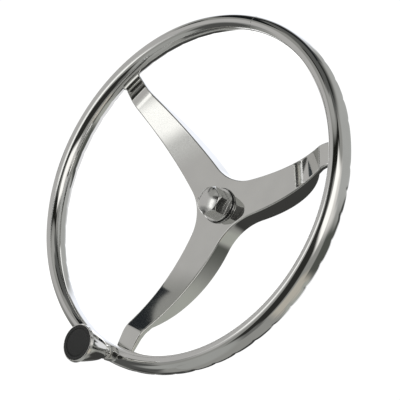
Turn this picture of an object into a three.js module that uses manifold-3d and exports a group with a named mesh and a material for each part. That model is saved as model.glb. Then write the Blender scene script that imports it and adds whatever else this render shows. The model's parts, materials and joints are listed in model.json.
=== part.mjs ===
// Three-spoke stainless steel boat steering wheel with a finger-grip rim and a spinner knob.
// Every piece is modelled with the wheel's axis along +Z, towards the driver, and the whole
// wheel is then turned so that the driver's side faces -Y and one spoke points down.
// The origin is the centre of the hub boss's rear face, where the tapered helm shaft enters.
// Lengths are in millimetres.

import * as THREE from 'three';
import { mergeVertices } from 'three/addons/utils/BufferGeometryUtils.js';
import Module from 'manifold-3d';

const wasm = await Module();
wasm.setup();

// ---- driving dimensions ------------------------------------------------------------------

const GAP = 0.3;                    // clearance left between pieces that touch
const BEYOND = 10;                  // how far a cutting shape runs past the face it cuts

const RIM_RADIUS = 187.6;           // wheel axis to the centre of the rim tube
const RIM_HALF_WIDTH = 9.4;         // tube section, measured across the radius
const RIM_HALF_DEPTH = 13.0;        // tube section, measured along the axis
const RIM_WALL = 1.65;
const RIM_PLANE = 92;               // rim centre plane above the hub's rear face
const RIM_SEAM_ANGLE = 90;          // butt joint of the tube, midway between two spokes
const RIM_SEAM_GAP = 0.4;
const GRIP_PITCH = 7.2;             // degrees from one finger grip to the next, 50 to the turn
const GRIP_HEIGHT = 1.0;            // how far a grip swells behind the plain tube
const GRIP_INNER_SHARE = 0.2;       // how much of that shows on the side towards the hub
const GRIP_PLAIN_ZONE = 5.5;        // degrees beside a spoke that have no notch
const RIM_STEPS = 150;              // three to a grip, so that every notch is cut
const SLEEVE_HALF_ANGLE = 6;        // degrees that the inner sleeve reaches either side of the seam
const SLEEVE_WALL = 1.5;
const SLEEVE_FIT = 0.93;            // size of the faceted sleeve within the faceted bore

const SPOKE_ANGLES = [30, 150, 270];
const HUB_FACE = 32.6;              // front of the hub plate
const PLATE = 4;                    // thickness of the spider's front wall
const SKIRT_WALL = 3.5;             // thickness of its side walls
const SKIRT_FOOT = 10.8;            // lower edge of the side walls round the hub
const FACE_BEND_START = 20;         // where a spoke's face leaves the flat hub
const FACE_BEND_RADIUS = 230;       // sweep of the spoke's face towards the driver
const TIP_BEND_RADIUS = 24;         // bend that flattens the spoke into its tongue
const FOOT_BEND_START = 44;
const FOOT_BEND_END = 148;          // where the lower edge turns towards the tongue
const FOOT_BEND_RADIUS = 127;       // sweep of the side walls' lower edge
const TONGUE_START = 159;           // middle of the bend
const TONGUE_GUSSET = 156;          // where the side walls run out under the tongue
const TONGUE_GUSSET_DROP = 2.2;
const TONGUE_TAPER_END = 179;
const TONGUE_END = 191;
const TONGUE_CORNER = 4;            // corner cut off the tongue's end
const TONGUE_THICKNESS = 4.2;       // at its end, behind the rim
const TONGUE_ROOT_THICKNESS = 6.4;
const TONGUE_FACE = RIM_PLANE - RIM_HALF_DEPTH - GAP;
const SPOKE_HALF_WIDTH_HUB = 20.4;  // half width where the hub fillets end
const SPOKE_HALF_WIDTH_TIP = 12.5;  // half width at the crease
const TONGUE_HALF_WIDTH = 11.7;
const HUB_FILLET_END = 41;          // distance along the spoke where its straight edge begins
const HUB_VALLEY_RADIUS = 32.4;     // wheel axis to the hollow between two spokes
const HUB_DISC_RADIUS = 24;
const PLATE_HOLE_RADIUS = 9;
const HOLLOW_END = 138;             // far end of the hollow behind each spoke's face
const SPOKE_HALF_SPAN = 45;         // more than half the spoke's widest point

const BOSS_RADIUS = 21;
const BOSS_CHAMFER = 1;
const SHAFT_RADIUS = 9.525;         // 3/4 inch shaft at the large end of its taper
const SHAFT_TAPER = 1 / 24;         // loss of radius per unit of length, 1 in 12 on diameter
const KEYWAY_WIDTH = 4.8;
const KEYWAY_DEPTH = 2.4;

const WASHER_RADIUS = 20.2;
const WASHER_THICKNESS = 0.6;
const ORING_RADIUS = 18.8;
const ORING_SECTION = 0.9;
const NUT_FLANGE_RADIUS = 19.2;
const NUT_FLANGE = 1.3;
const NUT_ACROSS_FLATS = 28.6;
const NUT_TOP = 57.6;
const NUT_CROWN_RADIUS = 14.2;      // the low dome ends here and the shoulders of the corners start
const NUT_CROWN_DROP = 3.3;
const NUT_SHOULDER_DROP = 6.4;      // top of the nut to the top of its corners
const NUT_HOLE_RADIUS = 7.94;       // 5/8 inch thread
const NUT_HOLE_TOP = 50.5;

const KNOB_ANGLE = 274.3;           // just beside the spoke that points down
const KNOB_BOSS_RADIUS = 6;         // threaded boss let into the front of the rim
const KNOB_BOSS_LOW = 4;            // heights on the knob are above the rim's centre plane
const STUD_RADIUS = 4.5;            // 3/8 inch thread of the knob's spindle
const JAM_NUT_ACROSS_FLATS = 14.3;
const JAM_NUT_HEIGHT = 8.3;
const SPINDLE_RADIUS = 4.0;
const SPINDLE_SHOULDER = 38;
const BEARING_REAR = 44;
const BEARING_WIDTH = 7;
const BEARING_BORE = 4.0;
const BEARING_OUTER = 11.0;
const BALL_RADIUS = 1.985;
const BALL_PITCH_RADIUS = 7.5;
const BALL_COUNT = 7;
const INNER_LAND = 5.9;             // rim of the inner race's groove
const OUTER_LAND = 9.1;
const SCREW_RADIUS = 2.2;           // M5 screw that holds the bearing on its spindle
const SCREW_HEAD_RADIUS = 4.4;
const CAP_RADIUS = 17.5;
const KNOB_TOP = 66;

// ---- materials ---------------------------------------------------------------------------

const polished = (color) => new THREE.MeshStandardMaterial({ color, roughness: 0.08, metalness: 1 });
const turned = (color) => new THREE.MeshStandardMaterial({ color, roughness: 0.3, metalness: 1 });
const plastic = (color) => new THREE.MeshStandardMaterial({ color, roughness: 0.5, metalness: 0 });

// ---- helpers -----------------------------------------------------------------------------

const radians = THREE.MathUtils.degToRad;

function toSolid(geometry) {
  const bare = geometry.index ? geometry.toNonIndexed() : geometry.clone();
  bare.deleteAttribute('normal');
  bare.deleteAttribute('uv');
  const merged = mergeVertices(bare, 1e-4);
  const vertProperties = Float32Array.from(merged.attributes.position.array);
  const triVerts = Uint32Array.from(merged.index.array);
  return new wasm.Manifold(new wasm.Mesh({ numProp: 3, vertProperties, triVerts }));
}

function toGeometry(solid) {
  const mesh = solid.getMesh();
  const geometry = new THREE.BufferGeometry();
  geometry.setAttribute('position', new THREE.BufferAttribute(mesh.vertProperties, 3));
  geometry.setIndex(new THREE.BufferAttribute(mesh.triVerts, 1));
  geometry.computeVertexNormals();
  return geometry;
}

function subtract(geometry, ...cutters) {
  let solid = toSolid(geometry);
  for (const cutter of cutters) {
    solid = solid.subtract(toSolid(cutter));
  }
  return toGeometry(solid);
}

function unite(...geometries) {
  let solid = toSolid(geometries[0]);
  for (const geometry of geometries.slice(1)) {
    solid = solid.add(toSolid(geometry));
  }
  return toGeometry(solid);
}

function intersect(geometry, other) {
  return toGeometry(toSolid(geometry).intersect(toSolid(other)));
}

// A solid of revolution about +Z from [radius, height] points, closed along its profile.
function revolve(profile, segments = 18) {
  const points = profile.map(([radius, height]) => new THREE.Vector2(radius, height));
  points.push(points[0].clone());
  const geometry = new THREE.LatheGeometry(points, segments);
  geometry.rotateX(Math.PI / 2);
  const solid = toSolid(geometry);
  return solid.volume() > 0 ? toGeometry(solid) : flipped(geometry);
}

function flipped(geometry) {
  const turnedOver = geometry.toNonIndexed();
  const position = turnedOver.attributes.position;
  const a = new THREE.Vector3();
  const b = new THREE.Vector3();
  for (let i = 0; i < position.count; i += 3) {
    a.fromBufferAttribute(position, i);
    b.fromBufferAttribute(position, i + 1);
    position.setXYZ(i, b.x, b.y, b.z);
    position.setXYZ(i + 1, a.x, a.y, a.z);
  }
  return toGeometry(toSolid(turnedOver));
}

function disc(outer, low, high, inner = 0, segments = 18) {
  return revolve([[inner, low], [outer, low], [outer, high], [inner, high]], segments);
}

function hexPrism(acrossFlats, low, high) {
  const geometry = new THREE.CylinderGeometry(
    acrossFlats / Math.sqrt(3), acrossFlats / Math.sqrt(3), high - low, 6);
  geometry.rotateX(Math.PI / 2);
  geometry.translate(0, 0, (low + high) / 2);
  return geometry;
}

function extrudeUp(shape, low, high) {
  const geometry = new THREE.ExtrudeGeometry(shape, { depth: high - low, bevelEnabled: false });
  geometry.translate(0, 0, low);
  return geometry;
}

// Height of a circular sweep that starts level at [start, level] and curves upwards.
function sweepHeight(along, start, level, radius) {
  if (along <= start) {
    return level;
  }
  return level + radius - Math.sqrt(radius * radius - (along - start) ** 2);
}

// ---- rim ---------------------------------------------------------------------------------

class RimPath extends THREE.Curve {
  constructor(startDegrees, endDegrees) {
    super();
    this.start = radians(startDegrees);
    this.end = radians(endDegrees);
  }

  getPoint(t, target = new THREE.Vector3()) {
    const angle = this.start + (this.end - this.start) * t;
    return target.set(RIM_RADIUS * Math.cos(angle), RIM_RADIUS * Math.sin(angle), 0);
  }
}

// An oval tube section swept round the rim; the extrusion's section runs axis first, radius second.
function sweptOval(halfWidth, halfDepth, sides, startDegrees, endDegrees, steps) {
  const section = [];
  for (let i = 0; i < sides; i += 1) {
    const angle = (i * 2 * Math.PI) / sides;
    section.push(new THREE.Vector2(halfDepth * Math.cos(angle), halfWidth * Math.sin(angle)));
  }
  return new THREE.ExtrudeGeometry(new THREE.Shape(section), {
    steps,
    bevelEnabled: false,
    extrudePath: new RimPath(startDegrees, endDegrees),
  });
}

const degreesApart = (a, b) => Math.abs((((a - b) % 360) + 540) % 360 - 180);
const fromSpoke = (degrees) => Math.min(...SPOKE_ANGLES.map((spoke) => degreesApart(degrees, spoke)));

// Evenly spaced notches between the grips, none of them beside a spoke.
const gripNotches = Array.from(
  { length: Math.round(360 / GRIP_PITCH) }, (_, k) => SPOKE_ANGLES[0] + k * GRIP_PITCH,
).filter((notch) => fromSpoke(notch) > GRIP_PLAIN_ZONE);

// Height of the grips along the rim: long rounded swells with a sharp notch between them.
function gripSwell(degrees) {
  const fromNotch = Math.min(...gripNotches.map((notch) => degreesApart(degrees, notch)));
  const fromTop = 1 - Math.min(1, fromNotch / (GRIP_PITCH / 2));
  return GRIP_HEIGHT * (1 - fromTop ** 3);
}

// The grips swell outwards and to the rear. The rear is plain where a spoke's tongue is welded on.
function addGrips(geometry) {
  const position = geometry.attributes.position;
  for (let i = 0; i < position.count; i += 1) {
    const x = position.getX(i);
    const y = position.getY(i);
    const z = position.getZ(i);
    const rearward = Math.max(0, -z / RIM_HALF_DEPTH);
    const degrees = THREE.MathUtils.radToDeg(Math.atan2(y, x));
    const swell = gripSwell(degrees) * Math.sqrt(rearward);
    const radius = Math.hypot(x, y);
    const outward = (radius - RIM_RADIUS) / RIM_HALF_WIDTH;
    const share = outward > 0 ? outward : outward * GRIP_INNER_SHARE;
    const scale = (radius + swell * share) / radius;
    const rear = fromSpoke(degrees) > GRIP_PITCH ? swell * rearward : 0;
    position.setXYZ(i, x * scale, y * scale, z - rear);
  }
  return geometry;
}

function rimTube() {
  const halfGap = THREE.MathUtils.radToDeg(RIM_SEAM_GAP / 2 / RIM_RADIUS);
  const start = RIM_SEAM_ANGLE + halfGap;
  const end = RIM_SEAM_ANGLE + 360 - halfGap;
  const outer = addGrips(sweptOval(RIM_HALF_WIDTH, RIM_HALF_DEPTH, 14, start, end, RIM_STEPS));
  const overrun = 0.05;
  const bore = sweptOval(
    RIM_HALF_WIDTH - RIM_WALL, RIM_HALF_DEPTH - RIM_WALL, 10, start - overrun, end + overrun, 60);
  const bossHole = disc(KNOB_BOSS_RADIUS + GAP, 0, RIM_HALF_DEPTH + BEYOND);
  bossHole.translate(knobPlace.x, knobPlace.y, 0);
  return subtract(outer, bore, bossHole);
}

function rimJointSleeve() {
  const halfWidth = (RIM_HALF_WIDTH - RIM_WALL) * SLEEVE_FIT - GAP;
  const halfDepth = (RIM_HALF_DEPTH - RIM_WALL) * SLEEVE_FIT - GAP;
  const start = RIM_SEAM_ANGLE - SLEEVE_HALF_ANGLE;
  const end = RIM_SEAM_ANGLE + SLEEVE_HALF_ANGLE;
  const overrun = 0.1;
  const outer = sweptOval(halfWidth, halfDepth, 10, start, end, 4);
  const inner = sweptOval(
    halfWidth - SLEEVE_WALL, halfDepth - SLEEVE_WALL, 10, start - overrun, end + overrun, 4);
  return subtract(outer, inner);
}

// ---- hub and spokes ----------------------------------------------------------------------

const spokeTaper = (SPOKE_HALF_WIDTH_HUB - SPOKE_HALF_WIDTH_TIP) / (TONGUE_START - HUB_FILLET_END);

// Outline of one spoke seen from the driver, along +X, with the hub fillets on both sides.
// An inset moves every edge inwards, for the hollow behind the face.
function spokePlan(inset, endAlong) {
  const edgeAngle = Math.atan(spokeTaper);
  const valley = new THREE.Vector2(
    HUB_VALLEY_RADIUS * Math.cos(Math.PI / 3), HUB_VALLEY_RADIUS * Math.sin(Math.PI / 3));
  // The fillet touches the spoke's edge and passes through the valley point.
  const outward = new THREE.Vector2(Math.cos(Math.PI / 3), Math.sin(Math.PI / 3));
  const edgeNormal = new THREE.Vector2(Math.sin(edgeAngle), Math.cos(edgeAngle));
  const onEdge = new THREE.Vector2(HUB_FILLET_END, SPOKE_HALF_WIDTH_HUB);
  const edgeOffset = edgeNormal.dot(onEdge);
  const filletRadius = (edgeOffset - edgeNormal.dot(valley)) / (edgeNormal.dot(outward) - 1);
  const centre = valley.clone().addScaledVector(outward, filletRadius);
  const radius = filletRadius + inset;
  const points = [new THREE.Vector2(-BEYOND / 2, 0)];
  const valleyAngle = Math.PI / 3 + Math.PI;
  const edgeTouch = -Math.PI / 2 - edgeAngle;
  const arcSteps = 8;
  for (let i = 0; i <= arcSteps; i += 1) {
    const angle = valleyAngle + ((edgeTouch + 2 * Math.PI - valleyAngle) * i) / arcSteps;
    points.push(new THREE.Vector2(
      centre.x + radius * Math.cos(angle), centre.y + radius * Math.sin(angle)));
  }
  const creaseAlong = Math.min(TONGUE_START, endAlong);
  const creaseHalf = SPOKE_HALF_WIDTH_HUB - spokeTaper * (creaseAlong - HUB_FILLET_END) - inset;
  points.push(new THREE.Vector2(creaseAlong, creaseHalf));
  if (endAlong > TONGUE_START) {
    points.push(new THREE.Vector2(endAlong - TONGUE_CORNER, TONGUE_HALF_WIDTH));
    points.push(new THREE.Vector2(endAlong, TONGUE_HALF_WIDTH - TONGUE_CORNER));
  }
  const mirrored = points.slice(1).reverse().map((point) => new THREE.Vector2(point.x, -point.y));
  return new THREE.Shape([...points, ...mirrored]);
}

// The face leaves the hub level, sweeps up, and bends back level at the tongue.
const faceSlope = Math.acos(
  1 - (TONGUE_FACE - HUB_FACE) / (FACE_BEND_RADIUS + TIP_BEND_RADIUS));
const SWEEP_END = FACE_BEND_START + FACE_BEND_RADIUS * Math.sin(faceSlope);
const TIP_BEND_END = SWEEP_END + TIP_BEND_RADIUS * Math.sin(faceSlope);

function faceHeight(along) {
  if (along <= SWEEP_END) {
    return sweepHeight(along, FACE_BEND_START, HUB_FACE, FACE_BEND_RADIUS);
  }
  const beforeEnd = Math.max(0, TIP_BEND_END - along);
  return TONGUE_FACE - TIP_BEND_RADIUS + Math.sqrt(TIP_BEND_RADIUS ** 2 - beforeEnd ** 2);
}

const footHeight = (along) => sweepHeight(along, FOOT_BEND_START, SKIRT_FOOT, FOOT_BEND_RADIUS);

// Evenly spaced distances along the spoke, both ends included.
function stations(from, to, count) {
  return Array.from({ length: count + 1 }, (_, i) => from + ((to - from) * i) / count);
}

// The spoke's side view: face on top, skirt edge below, then the flat tongue.
function spokeSide() {
  const tongueRoot = TIP_BEND_END - 3;
  const outline = [[-BEYOND, SKIRT_FOOT]];
  for (const along of stations(FOOT_BEND_START, FOOT_BEND_END, 9)) {
    outline.push([along, footHeight(along)]);
  }
  outline.push(
    [TONGUE_GUSSET, TONGUE_FACE - TONGUE_ROOT_THICKNESS - TONGUE_GUSSET_DROP],
    [tongueRoot, TONGUE_FACE - TONGUE_ROOT_THICKNESS],
    [TONGUE_TAPER_END, TONGUE_FACE - TONGUE_THICKNESS],
    [TONGUE_END + BEYOND, TONGUE_FACE - TONGUE_THICKNESS],
    [TONGUE_END + BEYOND, TONGUE_FACE],
  );
  for (const along of stations(TIP_BEND_END, SWEEP_END, 4)) {
    outline.push([along, faceHeight(along)]);
  }
  for (const along of stations(SWEEP_END, FACE_BEND_START, 11).slice(1)) {
    outline.push([along, faceHeight(along)]);
  }
  outline.push([-BEYOND, HUB_FACE]);
  return new THREE.Shape(outline.map(([along, height]) => new THREE.Vector2(along, height)));
}

// Side view of the hollow behind the face, open towards the rear. Its roof runs a wall's
// thickness behind the face, which takes a little more height where the face is steep.
function hollowSide() {
  const outline = [[-BEYOND, SKIRT_FOOT - BEYOND], [HOLLOW_END, SKIRT_FOOT - BEYOND]];
  for (const along of stations(HOLLOW_END, FACE_BEND_START, 9)) {
    const steepness = Math.asin((along - FACE_BEND_START) / FACE_BEND_RADIUS);
    outline.push([along, faceHeight(along) - PLATE / Math.cos(steepness)]);
  }
  outline.push([-BEYOND, HUB_FACE - PLATE]);
  return new THREE.Shape(outline.map(([along, height]) => new THREE.Vector2(along, height)));
}

// A side view drawn as [along, height], made solid across the spoke.
function sideSolid(shape) {
  const geometry = extrudeUp(shape, -SPOKE_HALF_SPAN, SPOKE_HALF_SPAN);
  geometry.rotateX(Math.PI / 2);
  return geometry;
}

function threeSpokes(inset, endAlong, side) {
  return SPOKE_ANGLES.map((angle) => {
    const plan = extrudeUp(spokePlan(inset, endAlong), -BEYOND, RIM_PLANE);
    const spoke = intersect(plan, sideSolid(side));
    spoke.rotateZ(radians(angle));
    return spoke;
  });
}

function hubSpider() {
  const hubDisc = disc(HUB_DISC_RADIUS, SKIRT_FOOT, HUB_FACE);
  const body = unite(...threeSpokes(0, TONGUE_END, spokeSide()), hubDisc);
  const hubHollow = disc(HUB_DISC_RADIUS, SKIRT_FOOT - BEYOND, HUB_FACE - PLATE);
  const hollows = threeSpokes(SKIRT_WALL, HOLLOW_END, hollowSide());
  const shaftHole = disc(PLATE_HOLE_RADIUS, 0, HUB_FACE + BEYOND);
  return subtract(body, ...hollows, hubHollow, shaftHole);
}

function hubBoss() {
  const top = HUB_FACE - PLATE - GAP;
  const bored = revolve([
    [SHAFT_RADIUS, 0],
    [BOSS_RADIUS - BOSS_CHAMFER, 0],
    [BOSS_RADIUS, BOSS_CHAMFER],
    [BOSS_RADIUS, top],
    [SHAFT_RADIUS - top * SHAFT_TAPER, top],
  ], 32);
  const keyway = new THREE.BoxGeometry(KEYWAY_WIDTH, SHAFT_RADIUS + KEYWAY_DEPTH, 2 * top);
  keyway.translate(0, (SHAFT_RADIUS + KEYWAY_DEPTH) / 2, top / 2);
  return subtract(bored, keyway);
}

// ---- cap nut, its seal and washer --------------------------------------------------------

const WASHER_LOW = HUB_FACE + GAP;
const ORING_LOW = WASHER_LOW + WASHER_THICKNESS + GAP;
const FLANGE_LOW = ORING_LOW + 2 * ORING_SECTION + GAP;

function capNutSeal() {
  const geometry = new THREE.TorusGeometry(ORING_RADIUS, ORING_SECTION, 8, 30);
  geometry.translate(0, 0, ORING_LOW + ORING_SECTION);
  return geometry;
}

// The low dome's profile, from its edge to the axis.
function crownDome() {
  return [1, 0.7, 0.35, 0].map((share) => [
    NUT_CROWN_RADIUS * share, NUT_TOP - NUT_CROWN_DROP * share * share]);
}

function capNut() {
  const cornerRadius = NUT_ACROSS_FLATS / Math.sqrt(3);
  const flangeTop = FLANGE_LOW + NUT_FLANGE;
  const crown = revolve([
    [0, flangeTop - 0.5],
    [cornerRadius + 1, flangeTop - 0.5],
    [cornerRadius + 1, NUT_TOP - NUT_SHOULDER_DROP - 1],
    [cornerRadius, NUT_TOP - NUT_SHOULDER_DROP],
    ...crownDome(),
  ], 36);
  const hex = intersect(hexPrism(NUT_ACROSS_FLATS, flangeTop - 1, NUT_TOP + 1), crown);
  const spigot = ORING_RADIUS - ORING_SECTION - GAP;
  const flange = revolve([
    [0, ORING_LOW],
    [spigot, ORING_LOW],
    [spigot, FLANGE_LOW],
    [NUT_FLANGE_RADIUS, FLANGE_LOW],
    [NUT_FLANGE_RADIUS, flangeTop - 0.5],
    [NUT_FLANGE_RADIUS - 0.7, flangeTop],
    [0, flangeTop],
  ], 36);
  const threadHole = disc(NUT_HOLE_RADIUS, ORING_LOW - BEYOND, NUT_HOLE_TOP);
  return subtract(unite(hex, flange), threadHole);
}

// ---- spinner knob ------------------------------------------------------------------------

const knobPlace = new THREE.Vector3(
  RIM_RADIUS * Math.cos(radians(KNOB_ANGLE)), RIM_RADIUS * Math.sin(radians(KNOB_ANGLE)), 0);
const NUT_SEAT = RIM_HALF_DEPTH + GAP;
const THRUST_LOW = NUT_SEAT + JAM_NUT_HEIGHT + GAP;
const THRUST_THICKNESS = 0.8;
const BUSH_LOW = THRUST_LOW + THRUST_THICKNESS + GAP;
const BUSH_FLANGE = 1.0;
const BUSH_FLANGE_RADIUS = 7;
const SHELL_LOW = BUSH_LOW + BUSH_FLANGE + GAP;
const BUSH_TOP = 31;
const NECK_BORE = 6.0;
const BEARING_TOP = BEARING_REAR + BEARING_WIDTH;
const CLIP_LOW = BEARING_TOP + GAP;
const CLIP_THICKNESS = 1.0;
const CLIP_DEPTH = 1.0;             // depth of its groove in the knob's bore
const CAP_LEDGE = KNOB_TOP - 2.3;
const SPINDLE_WASHER_THICKNESS = 1.2;

function knobBoss() {
  return disc(KNOB_BOSS_RADIUS, KNOB_BOSS_LOW, RIM_HALF_DEPTH, STUD_RADIUS + GAP);
}

function knobJamNut() {
  const low = NUT_SEAT;
  const high = NUT_SEAT + JAM_NUT_HEIGHT;
  const corner = JAM_NUT_ACROSS_FLATS / Math.sqrt(3);
  const chamfer = revolve([
    [0, low],
    [corner - 1.1, low],
    [corner + 0.2, low + 1],
    [corner + 0.2, high - 1],
    [corner - 1.1, high],
    [0, high],
  ], 24);
  const hex = intersect(hexPrism(JAM_NUT_ACROSS_FLATS, low - 1, high + 1), chamfer);
  return subtract(hex, disc(STUD_RADIUS + GAP, low - BEYOND, high + BEYOND));
}

function knobThrustWasher() {
  return disc(
    BUSH_FLANGE_RADIUS, THRUST_LOW, THRUST_LOW + THRUST_THICKNESS, STUD_RADIUS + GAP);
}

function knobSpindle() {
  const screwHole = SCREW_RADIUS + GAP;
  const studEnd = KNOB_BOSS_LOW + 1;
  const shoulderRadius = SPINDLE_RADIUS + 1.2;
  return revolve([
    [0, studEnd],
    [STUD_RADIUS - 0.8, studEnd],
    [STUD_RADIUS, studEnd + 1],
    [STUD_RADIUS, THRUST_LOW + THRUST_THICKNESS],
    [SPINDLE_RADIUS, THRUST_LOW + THRUST_THICKNESS],
    [SPINDLE_RADIUS, SPINDLE_SHOULDER],
    [shoulderRadius, SPINDLE_SHOULDER + 1],
    [shoulderRadius, BEARING_REAR - GAP],
    [BEARING_BORE - GAP, BEARING_REAR - GAP],
    [BEARING_BORE - GAP, BEARING_TOP],
    [screwHole, BEARING_TOP],
    [screwHole, BEARING_TOP - 11],
    [0, BEARING_TOP - 12],
  ]);
}

function knobBush() {
  const inner = SPINDLE_RADIUS + GAP;
  return revolve([
    [inner, BUSH_LOW],
    [BUSH_FLANGE_RADIUS, BUSH_LOW],
    [BUSH_FLANGE_RADIUS, BUSH_LOW + BUSH_FLANGE],
    [NECK_BORE - GAP, BUSH_LOW + BUSH_FLANGE],
    [NECK_BORE - GAP, BUSH_TOP],
    [inner, BUSH_TOP],
  ]);
}

const ballHeight = BEARING_REAR + BEARING_WIDTH / 2;

// A bearing race: a ring whose wall has a groove for the balls on one side.
function race(backRadius, landRadius, grooveRadius) {
  const shallow = 2.1;
  const deep = 1.1;
  return revolve([
    [backRadius, BEARING_REAR],
    [landRadius, BEARING_REAR],
    [landRadius, ballHeight - shallow],
    [grooveRadius, ballHeight - deep],
    [grooveRadius, ballHeight + deep],
    [landRadius, ballHeight + shallow],
    [landRadius, BEARING_TOP],
    [backRadius, BEARING_TOP],
  ]);
}

function bearingInnerRace() {
  return race(BEARING_BORE, INNER_LAND, BALL_PITCH_RADIUS - BALL_RADIUS - GAP);
}

function bearingOuterRace() {
  return race(BEARING_OUTER, OUTER_LAND, BALL_PITCH_RADIUS + BALL_RADIUS + GAP);
}

function bearingBallSet() {
  const cageHalf = 1.3;
  const cage = disc(
    BALL_PITCH_RADIUS + 0.5, ballHeight - cageHalf, ballHeight + cageHalf, BALL_PITCH_RADIUS - 0.5);
  const balls = [];
  for (let i = 0; i < BALL_COUNT; i += 1) {
    const ball = new THREE.SphereGeometry(BALL_RADIUS, 8, 5);
    const angle = (i * 2 * Math.PI) / BALL_COUNT;
    ball.translate(
      BALL_PITCH_RADIUS * Math.cos(angle), BALL_PITCH_RADIUS * Math.sin(angle), ballHeight);
    balls.push(ball);
  }
  return unite(cage, ...balls);
}

function bearingShield(low) {
  return disc(OUTER_LAND - GAP, low, low + 0.4, INNER_LAND + GAP);
}

function bearingCirclip() {
  const ring = disc(BEARING_OUTER + CLIP_DEPTH, CLIP_LOW, CLIP_LOW + CLIP_THICKNESS, 9.6);
  const opening = new THREE.BoxGeometry(8, 5, 6);
  opening.translate(BEARING_OUTER, 0, CLIP_LOW);
  return subtract(ring, opening);
}

function spindleWasher() {
  const low = BEARING_TOP + GAP;
  return disc(6, low, low + SPINDLE_WASHER_THICKNESS, SCREW_RADIUS + GAP);
}

function spindleScrew() {
  const screwEnd = BEARING_TOP - 9;
  const headLow = BEARING_TOP + SPINDLE_WASHER_THICKNESS + 2 * GAP;
  const body = revolve([
    [0, screwEnd],
    [SCREW_RADIUS, screwEnd],
    [SCREW_RADIUS, headLow],
    [SCREW_HEAD_RADIUS, headLow],
    [SCREW_HEAD_RADIUS, headLow + 2],
    [SCREW_HEAD_RADIUS - 1, headLow + 3],
    [0, headLow + 3],
  ]);
  return subtract(body, hexPrism(3, headLow + 1, headLow + 5));
}

// Goblet shape: a narrow neck that flares to a rolled lip, bored for the bush and the bearing.
function knobShell() {
  const bearingBore = BEARING_OUTER + GAP;
  const clipBore = bearingBore + CLIP_DEPTH;
  const clipTop = CLIP_LOW + CLIP_THICKNESS + GAP;
  const clipRear = CLIP_LOW - GAP / 2;
  return revolve([
    [NECK_BORE, SHELL_LOW],
    [7.1, SHELL_LOW],
    [7.5, SHELL_LOW + 3],
    [8.8, 30],
    [10.8, 34],
    [12.8, 40],
    [14.5, 46],
    [16.1, 52],
    [17.5, 58],
    [18.3, 62.2],
    [19.2, 62.8],
    [19.6, 63.6],
    [19.6, KNOB_TOP - 0.4],
    [19.2, KNOB_TOP],
    [CAP_RADIUS + GAP, KNOB_TOP],
    [CAP_RADIUS + GAP, CAP_LEDGE],
    [16.2, CAP_LEDGE],
    [16.0, 58.5],
    [13.4, 54],
    [bearingBore, clipTop],
    [clipBore, clipTop],
    [clipBore, clipRear],
    [bearingBore, clipRear],
    [bearingBore, BEARING_REAR - GAP],
    [9.5, BEARING_REAR - GAP],
    [NECK_BORE, 34],
  ], 30);
}

// A flat disc with a ring behind it that presses into the shell.
function knobCap() {
  const low = CAP_LEDGE + GAP;
  const ringInner = 14.6;
  const ringOuter = 15.6;
  const ringLow = 60;
  return revolve([
    [0, low],
    [ringInner, low],
    [ringInner, ringLow],
    [ringOuter, ringLow],
    [ringOuter, low],
    [CAP_RADIUS, low],
    [CAP_RADIUS, KNOB_TOP - 0.3],
    [CAP_RADIUS - 0.6, KNOB_TOP],
    [0, KNOB_TOP + 0.2],
  ], 30);
}

// ---- assembly ----------------------------------------------------------------------------

const STEEL = 0xd6d7d4;
const DARK = 0x2d2e2e;
const BEARING_STEEL = 0xb9bcbd;
const NYLON = 0xe9e6dc;

function piece(name, geometry, material, height = 0, place = null) {
  const mesh = new THREE.Mesh(geometry, material);
  mesh.name = name;
  mesh.position.z = height;
  if (place) {
    mesh.position.x = place.x;
    mesh.position.y = place.y;
  }
  return mesh;
}

const hubPiece = (name, geometry, material) => piece(name, geometry, material);
const knobPiece = (name, geometry, material) => piece(name, geometry, material, RIM_PLANE, knobPlace);

const washer = disc(WASHER_RADIUS, WASHER_LOW, WASHER_LOW + WASHER_THICKNESS, PLATE_HOLE_RADIUS, 36);

const wheel = new THREE.Group();
wheel.add(
  piece('rim_tube', rimTube(), polished(STEEL), RIM_PLANE),
  piece('rim_joint_sleeve', rimJointSleeve(), turned(STEEL), RIM_PLANE),
  hubPiece('hub_spider', hubSpider(), polished(STEEL)),
  hubPiece('hub_boss', hubBoss(), turned(STEEL)),
  hubPiece('hub_washer', washer, polished(STEEL)),
  hubPiece('cap_nut_seal', capNutSeal(), plastic(DARK)),
  hubPiece('cap_nut', capNut(), polished(STEEL)),
  knobPiece('knob_boss', knobBoss(), polished(STEEL)),
  knobPiece('knob_jam_nut', knobJamNut(), polished(STEEL)),
  knobPiece('knob_thrust_washer', knobThrustWasher(), turned(STEEL)),
  knobPiece('knob_spindle', knobSpindle(), turned(STEEL)),
  knobPiece('knob_bush', knobBush(), plastic(NYLON)),
  knobPiece('bearing_inner_race', bearingInnerRace(), turned(BEARING_STEEL)),
  knobPiece('bearing_outer_race', bearingOuterRace(), turned(BEARING_STEEL)),
  knobPiece('bearing_ball_set', bearingBallSet(), turned(BEARING_STEEL)),
  knobPiece('bearing_rear_shield', bearingShield(BEARING_REAR + 0.3), turned(BEARING_STEEL)),
  knobPiece('bearing_front_shield', bearingShield(BEARING_TOP - 0.7), turned(BEARING_STEEL)),
  knobPiece('bearing_circlip', bearingCirclip(), turned(BEARING_STEEL)),
  knobPiece('spindle_washer', spindleWasher(), turned(STEEL)),
  knobPiece('spindle_screw', spindleScrew(), turned(STEEL)),
  knobPiece('knob_shell', knobShell(), polished(STEEL)),
  knobPiece('knob_cap', knobCap(), plastic(DARK)),
);
wheel.rotation.x = Math.PI / 2;

export default wheel;
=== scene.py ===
"""Looks model of a polished steel boat steering wheel with a spinner knob.

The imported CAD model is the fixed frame. Smooth, rounded pieces stand for its faceted outer nodes.
Shapes are drawn in millimetres in the wheel's own axes, x to the driver's right, y up and z towards
the driver, measured from the hub boss's rear face, and are then turned into the frame's axes.
"""

import json
import math

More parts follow.
